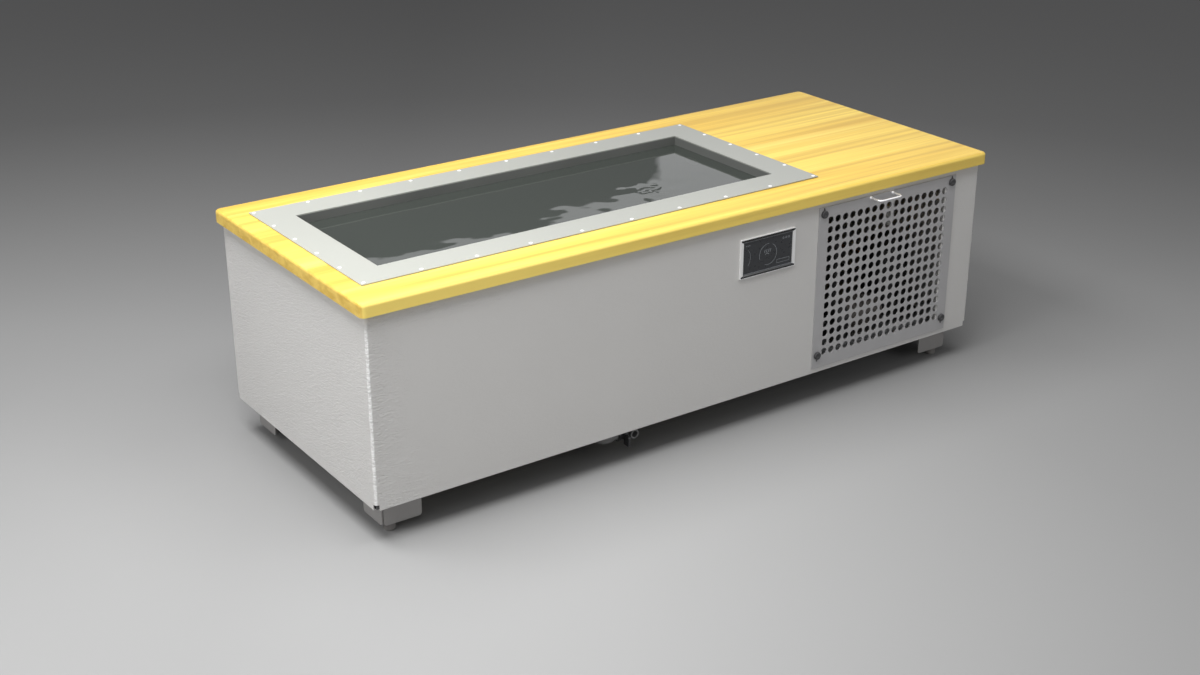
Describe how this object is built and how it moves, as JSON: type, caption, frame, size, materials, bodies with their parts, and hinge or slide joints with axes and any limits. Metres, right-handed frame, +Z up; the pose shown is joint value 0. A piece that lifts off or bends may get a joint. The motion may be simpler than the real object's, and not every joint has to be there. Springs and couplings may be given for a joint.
{
  "type": "cold plunge tub",
  "caption": "Rectangular cold plunge tub with a wood deck, a screwed-down steel basin, a textured sheet skirt, a small display and a perforated service panel over the chiller bay.",
  "frame": {"origin": "on the floor under the middle of the overall box, with the pull handle counted in", "axes": "+X along the length, from the basin's end to the equipment bay; -Y the front, with the display and the service panel; +Z up"},
  "size_m": [2.134, 0.8946, 0.6809],
  "materials": {
    "deck_wood": "satin",
    "basin_steel": "brushed",
    "gasket_rubber": "matte",
    "screw_steel": "polished",
    "foam": "matte",
    "skirt_paint": "textured powder coat",
    "frame_paint": "satin",
    "bracket_steel": "satin",
    "foot_plastic": "matte",
    "strainer_steel": "polished",
    "pvc_grey": "matte",
    "valve_plastic": "matte",
    "panel_paint": "satin",
    "handle_chrome": "polished",
    "knob_plastic": "matte",
    "receptacle_steel": "satin",
    "display_silver": "anodised",
    "display_black": "gloss",
    "display_screen": "gloss",
    "housing_plastic": "matte",
    "galvanised": "galvanised",
    "compressor_paint": "satin",
    "pump_plastic": "matte",
    "motor_paint": "satin",
    "filter_plastic": "matte",
    "bowl_plastic": "gloss",
    "filter_paper": "matte",
    "fin_aluminium": "satin",
    "fan_plastic": "matte",
    "exchanger_foam": "matte",
    "hose_rubber": "matte",
    "pipe_white": "satin",
    "copper": "satin",
    "box_plastic": "matte",
    "gland_plastic": "matte"
  },
  "bodies": {
    "tub": {"deck": "deck_wood", "basin": "basin_steel", "rim_gasket": "gasket_rubber", "rim_screws": "screw_steel", "basin_insulation": "foam", "floor_insulation": "foam", "skirt": "skirt_paint", "back_panel": "skirt_paint", "back_panel_screws": "screw_steel", "frame_base_rails": "frame_paint", "frame_cross_members": "frame_paint", "frame_posts": "frame_paint", "frame_top_rails": "frame_paint", "foot_bracket_front_left": "bracket_steel", "foot_bracket_front_right": "bracket_steel", "foot_bracket_back_left": "bracket_steel", "foot_bracket_back_right": "bracket_steel", "bracket_bolts": "screw_steel", "foot_lock_nuts": "screw_steel", "drain_strainer": "strainer_steel", "drain_pipe": "pvc_grey", "drain_valve": "valve_plastic", "drain_outlet": "pvc_grey", "knob_receptacles": "receptacle_steel", "display_frame": "display_silver", "display_bands": "display_black", "display_glass": "display_screen", "display_housing": "housing_plastic", "equipment_tray": "galvanised", "bulkhead": "galvanised", "compressor_shell": "compressor_paint", "compressor_base": "frame_paint", "pump_body": "pump_plastic", "pump_motor": "motor_paint", "filter_head": "filter_plastic", "filter_cartridge": "filter_paper", "condenser_coil": "fin_aluminium", "fan_shroud": "galvanised", "fan_motor": "frame_paint", "heat_exchanger": "exchanger_foam", "suction_pipe": "pvc_grey", "return_pipe": "pipe_white", "water_hoses": "hose_rubber", "refrigerant_lines": "copper", "control_box": "box_plastic", "cable_gland": "gland_plastic"},
    "service_panel_body": {"service_panel": "panel_paint", "panel_handle": "handle_chrome", "handle_screws": "screw_steel"},
    "knob_top_left_body": {"knob_top_left": "knob_plastic"},
    "knob_top_right_body": {"knob_top_right": "knob_plastic"},
    "knob_bottom_left_body": {"knob_bottom_left": "knob_plastic"},
    "knob_bottom_right_body": {"knob_bottom_right": "knob_plastic"},
    "drain_lever_body": {"drain_valve_lever": "valve_plastic"},
    "fan_body": {"fan_blades": "fan_plastic"},
    "filter_bowl_body": {"filter_bowl": "bowl_plastic"},
    "foot_front_left_body": {"foot_front_left": "foot_plastic"},
    "foot_front_right_body": {"foot_front_right": "foot_plastic"},
    "foot_back_left_body": {"foot_back_left": "foot_plastic"},
    "foot_back_right_body": {"foot_back_right": "foot_plastic"}
  },
  "joints": [
    {"name": "service_panel_pull", "type": "slide", "parent": "tub", "child": "service_panel_body", "axis": [0, -1, 0], "range_m": [0, 0.12]},
    {"name": "knob_top_left_turn", "type": "hinge", "parent": "service_panel_body", "child": "knob_top_left_body", "pos_m": [0.42, -0.40235, 0.602], "axis": [0, -1, 0], "range_deg": [0, 90]},
    {"name": "knob_bottom_left_turn", "type": "hinge", "parent": "service_panel_body", "child": "knob_bottom_left_body", "pos_m": [0.42, -0.40235, 0.16], "axis": [0, -1, 0], "range_deg": [0, 90]},
    {"name": "knob_top_right_turn", "type": "hinge", "parent": "service_panel_body", "child": "knob_top_right_body", "pos_m": [0.933, -0.40235, 0.602], "axis": [0, -1, 0], "range_deg": [0, 90]},
    {"name": "knob_bottom_right_turn", "type": "hinge", "parent": "service_panel_body", "child": "knob_bottom_right_body", "pos_m": [0.933, -0.40235, 0.16], "axis": [0, -1, 0], "range_deg": [0, 90]},
    {"name": "drain_lever_turn", "type": "hinge", "parent": "tub", "child": "drain_lever_body", "pos_m": [-0.257, -0.35265, 0.075], "axis": [0, 1, 0], "range_deg": [0, 90]},
    {"name": "fan_spin", "type": "hinge", "parent": "tub", "child": "fan_body", "pos_m": [0.802, 0.29695, 0.308], "axis": [0, 1, 0], "continuous": true},
    {"name": "filter_bowl_turn", "type": "hinge", "parent": "tub", "child": "filter_bowl_body", "pos_m": [0.587, -0.11505, 0.425], "axis": [0, 0, 1], "continuous": true},
    {"name": "foot_front_left_level", "type": "slide", "parent": "tub", "child": "foot_front_left_body", "axis": [0, 0, -1], "range_m": [-0.01, 0.015]},
    {"name": "foot_back_left_level", "type": "slide", "parent": "tub", "child": "foot_back_left_body", "axis": [0, 0, -1], "range_m": [-0.01, 0.015]},
    {"name": "foot_front_right_level", "type": "slide", "parent": "tub", "child": "foot_front_right_body", "axis": [0, 0, -1], "range_m": [-0.01, 0.015]},
    {"name": "foot_back_right_level", "type": "slide", "parent": "tub", "child": "foot_back_right_body", "axis": [0, 0, -1], "range_m": [-0.01, 0.015]}
  ]
}
